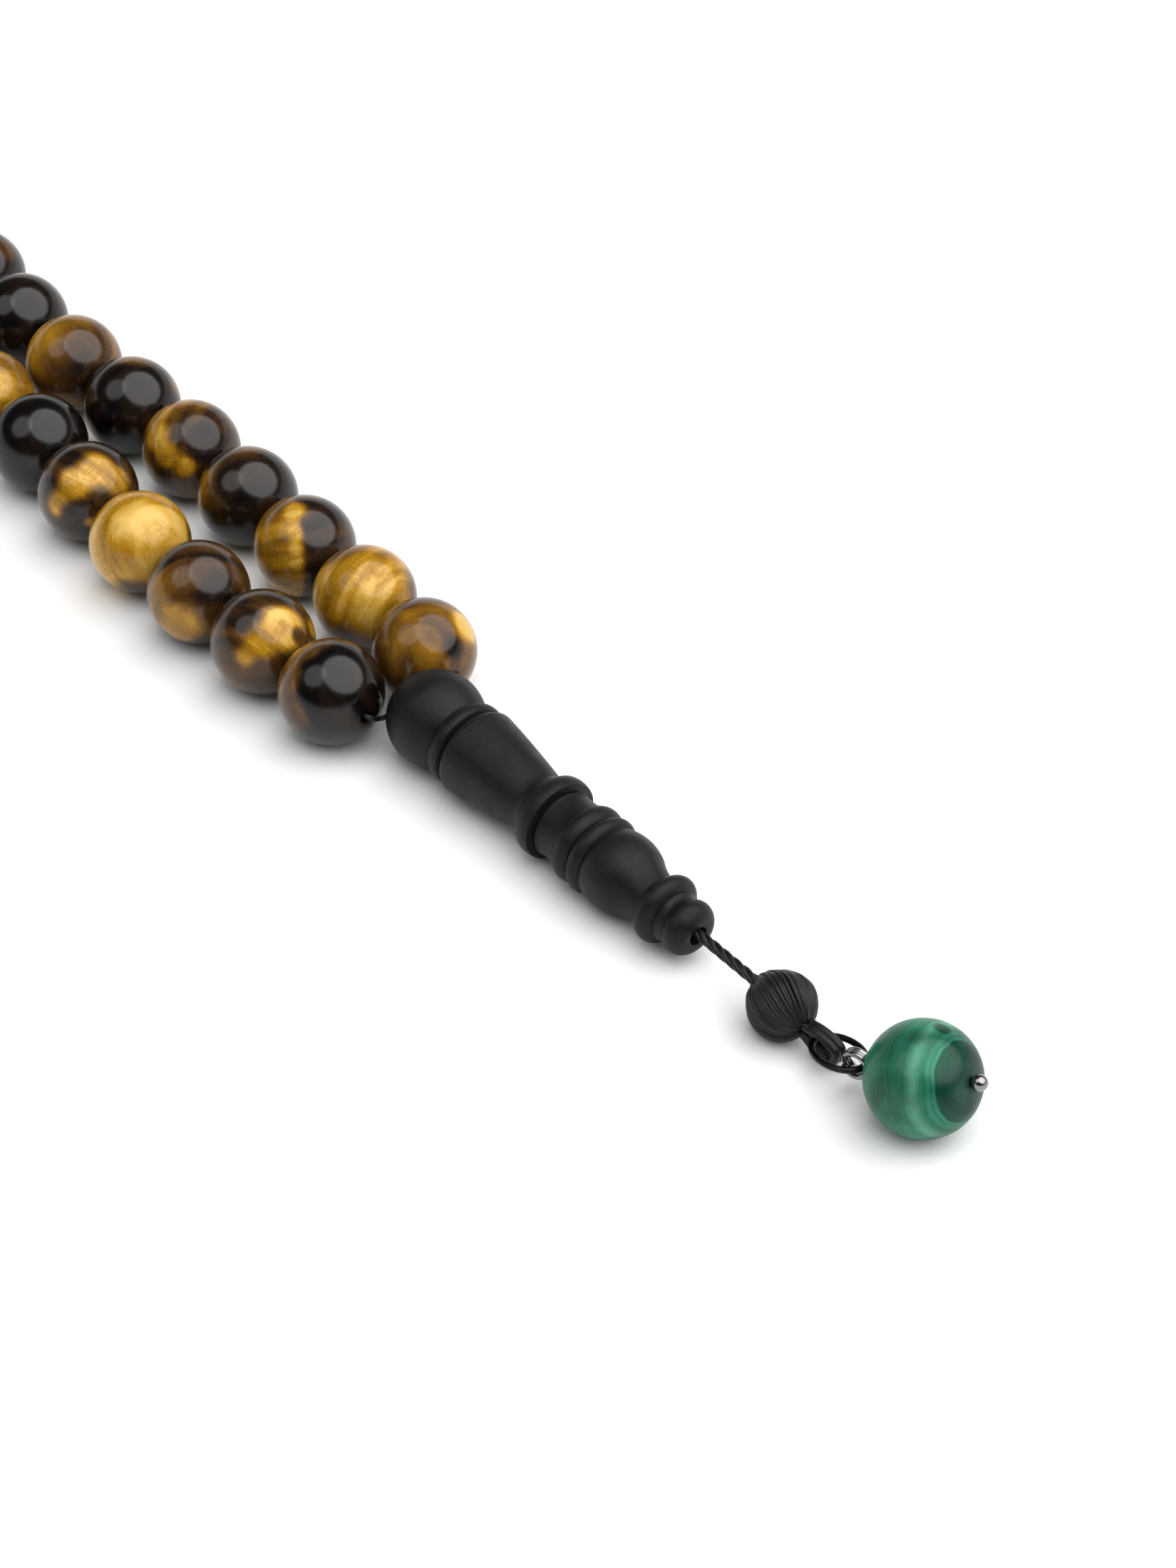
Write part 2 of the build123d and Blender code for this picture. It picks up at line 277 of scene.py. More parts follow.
tail_stops = (splice_x, 21.0 * mm, 30.0 * mm, 38.5 * mm, ball_x)
tail_route = [on_imame(x, cord_lift) for x in tail_stops]
tail_line = smooth_route("tail_route", tail_route)
ply_reach = (tail_cord_d - ply_d) / 2
plies = bmesh.new()
for ply in range(ply_count):
    ply_line = []
    gone = 0.0
    for i, point in enumerate(tail_line):
        gone += (point - tail_line[i - 1]).length if i else 0.0
        turn = 2 * pi * (ply / ply_count + gone / tail_twist)
        ply_line.append(
            point + Vector((0, 1, 0)) * (ply_reach * cos(turn)) + imame_up * (ply_reach * sin(turn))
        )
    sweep_tube(plies, ply_line, ply_d / 2, ply_sides)
twisted_tail = finish_mesh("twisted_tail_cord", plies, cord_black)
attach(twisted_tail, "string")
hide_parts("tail_cord")

# ---- String ------------------------------------------------------------------------------------------
# One long black thread through every bead. It shows between neighbouring beads, in the pocket beside the
# imame's head, and along the bare stretch that lets the beads be counted.
string_black = waxed_cord_material("waxed_string", (3.0, 3.0, 9.0))
for slot in frame["nodes"]["loop_string"].material_slots:
    slot.material = string_black

# ---- Tiger's eye beads -------------------------------------------------------------------------------
# Ground and polished balls of banded stone, each drilled through its middle. The bands lie another way in
# every bead: some are cut from gold layers, some from nearly black ones, and many from the edge of both.
bead_r = 5.0 * mm
bore_r = 0.5 * mm
bore_chamfer = 0.2 * mm
bead_arc_steps = 44
bead_turn_steps = 88


def ball_outline(radius, hole, chamfer, steps):
    """Half outline of a drilled ball, as (along, out) pairs, going once round the stone."""
    mouth = asin((hole + chamfer) / radius)
    outline = [(radius * -cos(mouth) + chamfer, hole)]
    for i in range(steps + 1):
        angle = mouth + (pi - 2 * mouth) * i / steps
        outline.append((-radius * cos(angle), radius * sin(angle)))
    outline.append((radius * cos(mouth) - chamfer, hole))
    return outline


def lathe(name, outline, centre, axis, steps, material, sharp=35):
    """Turns a closed outline about an axis. Each point keeps its place in the piece, in millimetres."""
    axis = axis.normalized()
    side = axis.cross(Vector((0, 0, 1))).normalized()
    up = side.cross(axis)
    grid = bmesh.new()
    local = grid.verts.layers.float_vector.new("local")
    rings = []
    for i in range(steps):
        turn = 2 * pi * i / steps
        out = side * cos(turn) + up * sin(turn)
        ring = []
        for along, radius in outline:
            vert = grid.verts.new(centre + axis * along + out * radius)
            vert[local] = (along / mm, radius * cos(turn) / mm, radius * sin(turn) / mm)
            ring.append(vert)
        rings.append(ring)
    for i in range(steps):
        a, b = rings[i], rings[(i + 1) % steps]
        for j in range(len(outline)):
            k = (j + 1) % len(outline)
            grid.faces.new((a[j], a[k], b[k], b[j]))
    return finish_mesh(name, grid, material, sharp)


def tigers_eye_material():
    """Silky gold and dark brown layers under a polished face."""
    material, tree, shader = new_material("tigers_eye")
    place = kept_place(tree, "stone")
    layer = add_node(tree, "ShaderNodeAttribute", attribute_name="gold")
    fibres = fibres_over(tree, place, (0.35, 5.5, 5.5), 4.0)
    banded = add_node(tree, "ShaderNodeVectorMath", {0: place, 1: (0.55, 0.1, 0.16)}, operation="MULTIPLY")
    bands = add_node(
        tree, "ShaderNodeTexNoise",
        {"Vector": banded.outputs[0], "Scale": 1.0, "Detail": 5.0, "Roughness": 0.55, "Distortion": 0.5},
    )
    shift = from_noise(tree, bands.outputs["Fac"], -0.2, 0.2)
    streak = from_noise(tree, fibres.outputs["Lines"], -0.06, 0.06)
    shifted = add_node(tree, "ShaderNodeMath", {0: layer.outputs["Fac"], 1: shift}, operation="ADD")
    level = add_node(
        tree, "ShaderNodeMath", {0: shifted.outputs[0], 1: streak}, operation="ADD", use_clamp=True
    )
    colour = add_node(tree, "ShaderNodeValToRGB", {"Fac": level.outputs[0]})
    fill_ramp(
        colour,
        [
            (0.0, (0.002, 0.0015, 0.0015)),
            (0.2, (0.014, 0.007, 0.004)),
            (0.45, (0.075, 0.032, 0.006)),
            (0.68, (0.21, 0.098, 0.006)),
            (0.86, (0.41, 0.205, 0.010)),
            (1.0, (0.62, 0.38, 0.075)),
        ],
    )
    glow = add_node(
        tree, "ShaderNodeMapRange",
        {"Value": level.outputs[0], "From Min": 0.4, "From Max": 1.0, "To Min": 0.0, "To Max": 0.22},
    )
    silk = add_node(
        tree, "ShaderNodeBump",
        {"Height": fibres.outputs["Lines"], "Strength": 0.12, "Distance": 0.00004},
    )
    tree.links.new(colour.outputs["Color"], shader.inputs["Base Color"])
    tree.links.new(glow.outputs["Result"], shader.inputs["Metallic"])
    tree.links.new(silk.outputs["Normal"], shader.inputs["Normal"])
    shader.inputs["Roughness"].default_value = 0.42
    shader.inputs["Specular IOR Level"].default_value = 0.0
    shader.inputs["Coat Weight"].default_value = 1.0
    shader.inputs["Coat Roughness"].default_value = 0.17
    shader.inputs["Coat IOR"].default_value = 1.42
    return material


tigers_eye = tigers_eye_material()

# Each stone: how golden it is all over (0 black, 1 bright gold), then its patches. A patch has a middle
# (right and up from the camera, as shares of the bead's radius), an angular radius, a softness and a shade.
stones = {
    "far_bead_01": (0.5, [(0.8, 0.46, 20, 7, 0.94), (0.56, 0.02, 11, 7, 0.2), (-0.45, 0.35, 26, 14, 0.62),
                          (-0.1, 0.98, 30, 6, 0.36), (0.05, -0.15, 14, 8, 0.66)]),
    "far_bead_02": (0.86, [(-0.45, 0.87, 26, 14, 0.5), (-0.3, -0.95, 40, 20, 0.3), (1, 0.1, 26, 16, 0.42)]),
    "far_bead_03": (0.2, [(-0.97, -0.1, 80, 5, 0.74), (-0.6, 0.66, 22, 10, 0.5), (-0.17, 0.66, 13, 7, 1.0),
                          (-0.16, 0.2, 9, 4, 1.0), (-0.15, -0.1, 8, 4, 0.98), (-0.14, -0.4, 8, 4, 0.95),
                          (0.1, 0.98, 14, 8, 0.6)]),
    "far_bead_04": (0.16, [(-0.88, 0.1, 26, 16, 0.58), (0, 0.97, 24, 10, 0.34), (-0.3, -0.4, 20, 14, 0.3)]),
    "far_bead_05": (0.34, [(-0.62, 0.66, 20, 7, 0.8), (-0.66, 0.2, 18, 7, 0.86),
                           (-0.42, -0.18, 16, 6, 0.92), (-0.08, -0.42, 13, 5, 0.86),
                           (0.35, 0.08, 24, 5, 0.14), (-0.86, -0.36, 20, 10, 0.6),
                           (0.1, 0.95, 22, 12, 0.62)]),
    "far_bead_06": (0.05, [(0.05, 0.96, 24, 9, 0.5), (0.9, 0.4, 14, 8, 0.5), (0.3, -0.4, 20, 12, 0.26)]),
    "far_bead_07": (0.46, [(-0.8, 0.3, 40, 20, 0.76), (0.1, 0.95, 24, 12, 0.62), (0.35, 0.25, 24, 12, 0.36),
                           (0.4, -0.4, 26, 14, 0.2)]),
    "far_bead_08": (0.04, [(0.1, 0.98, 16, 8, 0.22)]),
    "far_bead_09": (0.06, [(0.6, 0.6, 20, 10, 0.3)]),
    "near_bead_01": (0.03, [(-0.86, 0.26, 30, 7, 0.52), (-0.42, 0.85, 28, 7, 0.5),
                            (-0.74, -0.42, 24, 8, 0.42)]),
    "near_bead_02": (0.3, [(0.46, 0.26, 27, 9, 0.95), (0.05, 0.0, 20, 9, 0.8), (-0.3, -0.3, 11, 6, 0.78),
                           (0.95, 0.25, 12, 6, 0.8), (0.72, 0.1, 9, 4, 0.4), (0, 0.95, 30, 12, 0.22)]),
    "near_bead_03": (0.3, [(-0.46, -0.64, 34, 14, 0.78), (-0.9, 0, 30, 14, 0.6), (-0.3, 0.1, 18, 12, 0.4),
                           (0.5, -0.1, 26, 12, 0.14), (0.2, -0.97, 18, 8, 0.16)]),
    "near_bead_04": (0.9, [(-0.72, 0.69, 18, 12, 0.46), (0, -0.98, 26, 14, 0.26), (1, 0, 18, 12, 0.45),
                           (-0.2, -0.3, 16, 12, 0.72)]),
    "near_bead_05": (0.22, [(-0.5, -0.3, 16, 7, 0.78), (-0.2, 0.1, 20, 8, 0.84), (0.25, 0.4, 22, 9, 0.88),
                            (0.68, 0.18, 18, 8, 0.82), (-0.12, -0.62, 22, 7, 0.12),
                            (0.12, -0.66, 7, 4, 0.66)]),
    "near_bead_06": (0.03, []),
    "near_bead_07": (0.68, [(0.2, 0.2, 30, 15, 0.85)]),
}


def place_patches(patches):
    """Turns patches given as the camera sees them into directions round the ball's centre."""
    return [
        (facing(x, y, sqrt(max(0.0, 1 - x * x - y * y))), wide, soft, shade)
        for x, y, wide, soft, shade in patches
    ]


def patched_level(outward, level, patches):
    """The shade at one place on a ball, from its ground shade and the patches laid over it in order."""
    for way, wide, soft, shade in patches:
        off = degrees(acos(max(-1.0, min(1.0, outward.dot(way)))))
        share = max(0.0, min(1.0, (wide + soft - off) / (2 * soft)))
        level += (shade - level) * share * share * (3 - 2 * share)
    return level


cut = random.Random(33)
for body in sorted(joints):
    if "_bead_" not in body:
        continue
    joint = joints[body]
    low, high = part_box(body)
    centre = Vector(joint["pos_m"]) if "pos_m" in joint else (low + high) / 2
    bead = lathe(body + "_stone", ball_outline(bead_r, bore_r, bore_chamfer, bead_arc_steps), centre,
                 Vector(joint["axis"]), bead_turn_steps, tigers_eye)
    if body in stones:
        ground, patches = stones[body]
        patches = place_patches(patches)
    else:
        ground = cut.choice((0.04, 0.2, 0.32, 0.5, 0.72, 0.88))
        patches = []
        for _ in range(6):
            way = Vector([cut.uniform(-1, 1) for _ in range(3)]).normalized()
            patches.append((way, cut.uniform(14, 44), cut.uniform(6, 16), cut.uniform(0.05, 0.95)))
    start = Vector([cut.uniform(0, 90) for _ in range(3)])
    tilt = Matrix.Rotation(cut.uniform(0, pi), 3, Vector([cut.uniform(-1, 1) for _ in range(3)]).normalized())
    gold = bead.data.attributes.new("gold", "FLOAT", "POINT")
    stone = bead.data.attributes.new("stone", "FLOAT_VECTOR", "POINT")
    for i, v in enumerate(bead.data.vertices):
        place = v.co - centre
        gold.data[i].value = patched_level(place.normalized(), ground, patches)
        stone.data[i].vector = start + tilt @ (place / mm)
    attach(bead, body)
    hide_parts(body)

# ---- Imame and pause beads ---------------------------------------------------------------------------
# Turned on a lathe from close-grained black wood, rubbed to a satin face. Fine turning marks run round
# them, and the grain runs along.
def turned_black_material():
    """Satin black wood with turning marks round it and grain along it."""
    material, tree, shader = new_material("turned_black")
    place = kept_place(tree, "local")
    grain = fibres_over(tree, place, (0.35, 3.2, 3.2), 5.0)
    tool = add_node(tree, "ShaderNodeVectorMath", {0: place, 1: (9.0, 0.15, 0.15)}, operation="MULTIPLY")
    marks = add_node(tree, "ShaderNodeTexNoise", {"Vector": tool.outputs[0], "Scale": 1.0, "Detail": 3.0})
    both = add_node(
        tree, "ShaderNodeMath",
        {0: marks.outputs["Fac"], 1: grain.outputs["Lines"]}, operation="ADD",
    )
    colour = add_node(tree, "ShaderNodeValToRGB", {"Fac": grain.outputs["Lines"]})
    fill_ramp(colour, [(0.3, (0.0022, 0.0022, 0.0026)), (0.8, (0.007, 0.0066, 0.0062))])
    rough = from_noise(tree, grain.outputs["Clouds"], 0.4, 0.56)
    bump = add_node(tree, "ShaderNodeBump", {"Height": both.outputs[0], "Strength": 0.5, "Distance": 0.00003})
    tree.links.new(colour.outputs["Color"], shader.inputs["Base Color"])
    tree.links.new(rough, shader.inputs["Roughness"])
    tree.links.new(bump.outputs["Normal"], shader.inputs["Normal"])
    shader.inputs["Specular IOR Level"].default_value = 0.22
    return material


turned_black = turned_black_material()


def arc_through(a, b, c, steps=10):
    """Points on the arc from a through b to c, without the first one."""
    (ax, ay), (bx, by), (cx, cy) = a, b, c
    d = 2 * (ax * (by - cy) + bx * (cy - ay) + cx * (ay - by))
    a2, b2, c2 = ax * ax + ay * ay, bx * bx + by * by, cx * cx + cy * cy
    ux = (a2 * (by - cy) + b2 * (cy - ay) + c2 * (ay - by)) / d
    uy = (a2 * (cx - bx) + b2 * (ax - cx) + c2 * (bx - ax)) / d
    radius = hypot(ax - ux, ay - uy)
    first, middle, last = (atan2(y - uy, x - ux) for x, y in (a, b, c))
    onward = (last - first) % (2 * pi)
    if (middle - first) % (2 * pi) > onward:
        onward -= 2 * pi
    return [
        (ux + radius * cos(first + onward * i / steps), uy + radius * sin(first + onward * i / steps))
        for i in range(1, steps + 1)
    ]


bore = 0.95
funnel_r = 2.8
funnel_x = -sqrt(head_r**2 - funnel_r**2)
tip_x = 36.4
# Each entry is the next corner, or a point on an arc and the arc's end, in millimetres from the head's
# centre.
imame_profile = [
    ((-1.9, sqrt(head_r**2 - 1.9**2)), (0, head_r)),
    ((1.9, 4.27), (3.4, 3.38)),
    ((3.62, 3.9),),
    ((4.3, 4.17), (4.98, 4.05)),
    ((5.22, 3.6),),
    ((5.5, 3.95),),
    ((5.75, 4.22), (6.2, 4.33)),
    ((10.5, 3.74), (14.7, 3.02)),
    ((15.55, 3.3), (16.15, 3.88)),
    ((16.95, 4.05), (17.7, 3.92)),
    ((17.82, 3.1),),
    ((18.02, 3.1),),
    ((18.08, 3.26),),
    ((18.2, 3.32), (18.32, 3.24)),
    ((19.4, 3.24), (20.6, 3.36)),
    ((20.78, 3.58),),
    ((21.65, 3.86), (22.5, 3.52)),
    ((22.62, 3.32),),
    ((22.76, 3.54),),
    ((23.45, 3.86), (24.1, 3.52)),
    ((24.24, 3.3),),
    ((24.42, 3.5),),
    ((26.2, 3.79), (28.2, 3.34)),
    ((29.4, 2.74), (30.75, 2.38)),
    ((31.0, 2.46), (31.15, 2.72)),
    ((31.95, 3.36), (32.95, 2.78)),
    ((33.1, 2.52),),
    ((33.3, 2.56),),
    ((33.75, 2.36), (34.15, 2.4)),
    ((35.1, 2.66), (tip_x, bore + 0.2)),
    ((tip_x, bore),),
    ((-1.6, bore),),
    ((-2.9, 1.6), (funnel_x, funnel_r)),
]


def trace(start, profile, steps=12):
    """Follows a profile's corners and arcs from a first point, and gives (along, out) pairs in metres."""
    outline = [start]
    for entry in profile:
        outline += [entry[0]] if len(entry) == 1 else arc_through(outline[-1], *entry, steps)
    return [(x * mm, r * mm) for x, r in outline]


turned_sharp = 30  # degrees between faces that make a crisp edge
imame_turn_steps = 144
imame = lathe("imame_turned", trace((funnel_x, funnel_r), imame_profile)[:-1], imame_head, imame_axis,
              imame_turn_steps, turned_black, turned_sharp)
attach(imame, "imame")
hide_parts("imame")

pause_half = 3.5
pause_hole_r = 0.5
pause_face_r = 2.2
pause_rim_r = 2.5
pause_bead_r = 2.9  # small raised ring at each end
pause_r = 4.5
rim_in = 0.3  # how far in from the face the rim, the raised ring and the belly's foot lie
bead_in = 0.9
foot_in = 1.4
pause_turn_steps = 96
pause_profile = [
    ((-pause_half, pause_face_r),),
    ((rim_in - pause_half, pause_rim_r),),
    ((bead_in - pause_half, pause_bead_r), (foot_in - pause_half, pause_rim_r)),
    ((0, pause_r), (pause_half - foot_in, pause_rim_r)),
    ((pause_half - bead_in, pause_bead_r), (pause_half - rim_in, pause_rim_r)),
    ((pause_half, pause_face_r),),
    ((pause_half, pause_hole_r),),
]
for body in ("far_pause_bead", "near_pause_bead"):
    joint = joints[body]
    pause = lathe(body + "_turned", trace((-pause_half, pause_hole_r), pause_profile),
                  Vector(joint["pos_m"]), Vector(joint["axis"]), pause_turn_steps, turned_black, turned_sharp)
    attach(pause, body)
    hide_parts(body)

# ---- Ball --------------------------------------------------------------------------------------------
# Black thread wound from hole to hole over a small core, turn beside turn, so that it covers the core in
# soft lobes. It crowds into a collar where the tail cord goes in.
ball_centre = on_imame(ball_x)
loop_azimuth = 5.0
loop_droop = 13.3
loop_axis = Vector((
    cos(radians(loop_azimuth)) * cos(radians(loop_droop)),
    sin(radians(loop_azimuth)) * cos(radians(loop_droop)),
    -sin(radians(loop_droop)),
))


def winding_tree(material):
    """Geometry Nodes: threads side by side round a ball, from one pole to the other."""
    tree = bpy.data.node_groups.new("thread_windings", "GeometryNodeTree")
    tree.interface.new_socket("Geometry", in_out="INPUT", socket_type="NodeSocketGeometry")
    for label, kind, value in (
        ("Threads", "NodeSocketInt", 56),
        ("Ball Radius", "NodeSocketFloat", 2.88 * mm),
        ("Thread Radius", "NodeSocketFloat", 0.2 * mm),
        ("Hole Angle", "NodeSocketFloat", radians(15)),
        ("Lobe Depth", "NodeSocketFloat", 0.035),
        ("Slant", "NodeSocketFloat", 0.35),
    ):
        tree.interface.new_socket(label, in_out="INPUT", socket_type=kind).default_value = value
    tree.interface.new_socket("Geometry", in_out="OUTPUT", socket_type="NodeSocketGeometry")
    given = tree.nodes.new("NodeGroupInput").outputs
    sweep_angle = add_node(
        tree, "ShaderNodeMath", {0: given["Hole Angle"], 1: -2.0, 2: pi}, operation="MULTIPLY_ADD"
    )
    arc = add_node(
        tree, "GeometryNodeCurveArc",
        {"Resolution": 40, "Radius": given["Ball Radius"], "Start Angle": given["Hole Angle"],
         "Sweep Angle": sweep_angle.outputs[0]},
    )
    copies = add_node(
        tree, "GeometryNodeDuplicateElements",
        {"Geometry": arc.outputs["Curve"], "Amount": given["Threads"]}, domain="SPLINE",
    )
    share = add_node(
        tree, "ShaderNodeMath",
        {0: copies.outputs["Duplicate Index"], 1: given["Threads"]}, operation="DIVIDE",
    )
    turn = add_node(tree, "ShaderNodeMath", {0: share.outputs[0], 1: 2 * pi}, operation="MULTIPLY")
    uneven = add_node(
        tree, "FunctionNodeRandomValue",
        {2: -0.035, 3: 0.035, "ID": copies.outputs["Duplicate Index"], "Seed": 5}, data_type="FLOAT",
    )
    place = tree.nodes.new("GeometryNodeInputPosition")
    parts = add_node(tree, "ShaderNodeSeparateXYZ", {0: place.outputs[0]})
    along_share = add_node(
        tree, "ShaderNodeMath", {0: parts.outputs["X"], 1: given["Ball Radius"]}, operation="DIVIDE"
    )
    slant = add_node(
        tree, "ShaderNodeMath", {0: along_share.outputs[0], 1: given["Slant"]}, operation="MULTIPLY"
    )
    jittered = add_node(tree, "ShaderNodeMath", {0: turn.outputs[0], 1: uneven.outputs[1]}, operation="ADD")
    angle = add_node(tree, "ShaderNodeMath", {0: jittered.outputs[0], 1: slant.outputs[0]}, operation="ADD")
    rolled = add_node(
        tree, "ShaderNodeVectorRotate",
        {"Vector": place.outputs[0], "Axis": (1, 0, 0), "Angle": angle.outputs[0]},
        rotation_type="AXIS_ANGLE",
    )
    lobes = add_node(tree, "ShaderNodeMath", {0: angle.outputs[0], 1: 5.0}, operation="MULTIPLY")
    wave = add_node(tree, "ShaderNodeMath", {0: lobes.outputs[0]}, operation="SINE")
    swell = add_node(
        tree, "ShaderNodeMath", {0: wave.outputs[0], 1: given["Lobe Depth"], 2: 1.0}, operation="MULTIPLY_ADD"
    )
    layer = add_node(
        tree, "FunctionNodeRandomValue",
        {2: 0.95, 3: 1.03, "ID": copies.outputs["Duplicate Index"], "Seed": 11}, data_type="FLOAT",
    )
    grown = add_node(tree, "ShaderNodeMath", {0: swell.outputs[0], 1: layer.outputs[1]}, operation="MULTIPLY")
    shaped = add_node(
        tree, "ShaderNodeVectorMath", {0: rolled.outputs[0], "Scale": grown.outputs[0]}, operation="SCALE"
    )
    wound = add_node(
        tree, "GeometryNodeSetPosition",
        {"Geometry": copies.outputs["Geometry"], "Position": shaped.outputs[0]},
    )
    section = add_node(
        tree, "GeometryNodeCurvePrimitiveCircle", {"Resolution": 8, "Radius": given["Thread Radius"]}
    )
    threads = add_node(
        tree, "GeometryNodeCurveToMesh",
        {"Curve": wound.outputs["Geometry"], "Profile Curve": section.outputs["Curve"], "Fill Caps": True},
    )
    smooth = add_node(tree, "GeometryNodeSetShadeSmooth", {"Geometry": threads.outputs["Mesh"]})
    real = add_node(tree, "GeometryNodeRealizeInstances", {"Geometry": smooth.outputs["Geometry"]})
    painted = add_node(
        tree, "GeometryNodeSetMaterial", {"Geometry": real.outputs["Geometry"], "Material": material}
    )
    result = tree.nodes.new("NodeGroupOutput")
    tree.links.new(painted.outputs["Geometry"], result.inputs["Geometry"])
    return tree


def bake_nodes(name, tree, place):
    """Runs a Geometry Nodes tree once, puts the mesh in its place, and keeps it as a plain object."""
    holder = bpy.data.objects.new(name + "_holder", bpy.data.meshes.new(name + "_holder"))
    bpy.context.scene.collection.objects.link(holder)
    holder.modifiers.new("nodes", "NODES").node_group = tree
    graph = bpy.context.evaluated_depsgraph_get()
    mesh = bpy.data.meshes.new_from_object(holder.evaluated_get(graph), depsgraph=graph)
    mesh.name = name
    mesh.transform(place)
    bpy.data.objects.remove(holder)
    piece = bpy.data.objects.new(name, mesh)
    bpy.context.scene.collection.objects.link(piece)
    return piece


collar_thread_r = 0.23 * mm
collar_turns = 2.5
collar_steps = 90
collar_r = 0.74 * mm
collar_spread = 0.26 * mm
collar_wobble = 0.05 * mm
collar_back = 2.92 * mm  # from the ball's centre, back along the imame's axis
collar_run = 0.5 * mm
collar = bmesh.new()
collar_line = []
for i in range(collar_steps + 1):
    share = i / collar_steps
    turn = 2 * pi * collar_turns * share
    out = collar_r + collar_spread * share + collar_wobble * sin(3 * turn)
    collar_line.append(
        on_imame(ball_x - collar_back + collar_run * share, cord_lift * (1 - share))
        + Vector((0, 1, 0)) * (out * cos(turn)) + imame_up * (out * sin(turn))
    )
sweep_tube(collar, collar_line, collar_thread_r, 12)
ball_collar = finish_mesh("ball_collar", collar, cord_black)
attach(ball_collar, "string")

wound_black = waxed_cord_material("wound_thread", (9.0, 9.0, 9.0))
mean_axis = (imame_axis + loop_axis).normalized()
ball_side = mean_axis.cross(Vector((0, 0, 1))).normalized()
ball_up = ball_side.cross(mean_axis)
ball_place = Matrix((mean_axis, -ball_side, ball_up)).transposed().to_4x4()
ball_place.translation = ball_centre
windings = bake_nodes("ball_windings", winding_tree(wound_black), ball_place)
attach(windings, "string")
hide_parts("thread_wrap")
for slot in frame["nodes"]["wrap_core"].material_slots:
    slot.material = wound_black

# ---- Cord loop ---------------------------------------------------------------------------------------
# Two turns of thicker cord out of the ball and round the jump ring, pressed together side by side.
loop_cord_d = 0.84 * mm
loop_pitch = 0.66 * mm
loop_side = loop_axis.cross(Vector((0, 0, 1))).normalized()
loop_up = loop_side.cross(loop_axis)
loop_half = [(2.22, 0.44), (3.1, 0.44), (4.25, 0.9), (5.55, 1.02), (6.6, 0.8), (6.7, 0.25)]
loop_points = loop_half + [(x, -y) for x, y in reversed(loop_half)]
loops = bmesh.new()
for offset in (-loop_pitch / 2, loop_pitch / 2):
    route = [
        ball_centre + loop_side * offset + loop_axis * (x * mm) + loop_up * (y * mm) for x, y in loop_points
    ]
    sweep_tube(loops, smooth_route("loop_route", route), loop_cord_d / 2, 20)
cord_loop = finish_mesh("cord_loop_turns", loops, cord_black)
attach(cord_loop, "string")
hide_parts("cord_loop")

# ---- Jump ring ---------------------------------------------------------------------------------------
# An oval of round wire, blackened, which joins the cord loop to the pendant's eye.
def wire_material(name, dark, light, rough):
    """Plated wire: metal with faint drawn lines and a little wear."""
    material, tree, shader = new_material(name)
    lines = fibres_over(tree, kept_place(tree, "along"), (0.5, 8.0, 8.0), 2.0)
    colour = add_node(tree, "ShaderNodeValToRGB", {"Fac": lines.outputs["Clouds"]})
    fill_ramp(colour, [(0.35, dark), (0.7, light)])
    worn = from_noise(tree, lines.outputs["Lines"], rough - 0.06, rough + 0.08)
    tree.links.new(colour.outputs["Color"], shader.inputs["Base Color"])
    tree.links.new(worn, shader.inputs["Roughness"])
    shader.inputs["Metallic"].default_value = 1.0
    return material


ring_rise = 8.7
ring_centre = imame_head + Vector((53.97, 0.25, 2.52 - head_r)) * mm
ring_long = Vector((cos(radians(ring_rise)), 0, sin(radians(ring_rise))))
ring_half_length = 2.78 * mm
ring_half_width = 1.81 * mm
ring_wire_d = 0.58 * mm
ring_steps = 96
ring_line = [
    ring_centre + ring_long * (ring_half_length * cos(2 * pi * i / ring_steps))
    + Vector((0, 1, 0)) * (ring_half_width * sin(2 * pi * i / ring_steps))
    for i in range(ring_steps)
]
blackened_wire = wire_material("blackened_wire", (0.012, 0.012, 0.012), (0.035, 0.035, 0.035), 0.3)
ring = bmesh.new()
sweep_tube(ring, ring_line, ring_wire_d / 2, 20, closed=True)
jump_ring = finish_mesh("jump_ring_wire", ring, blackened_wire)
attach(jump_ring, "ring")
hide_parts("jump_ring")

# ---- Headpin -----------------------------------------------------------------------------------------
# A straight pin with a ball end, pushed through the pendant bead, its far end wound into an eye.
pendant_r = 5.05 * mm
pin_axis = Vector(joints["pendant"]["axis"])
pendant_centre = Vector(joints["pendant"]["pos_m"])
pin_side = pin_axis.cross(Vector((0, 0, 1))).normalized()
pin_up = pin_side.cross(pin_axis)
pin_wire_r = 0.26 * mm
pin_head_r = 0.725 * mm
eye_r = 1.15 * mm
eye_back = 6.45 * mm
eye_turns = 3.25
eye_width = 0.9 * mm
eye_steps = 130
neck_length = 0.9 * mm  # the wire bends over from the eye to the pin's line along this
neck_aside = 0.3  # share of the eye's width
pin_head_seat = 0.05 * mm
pin_ball_steps = 24
pin_ball_pole_r = 0.002 * mm  # keeps the lathe's outline open at the poles

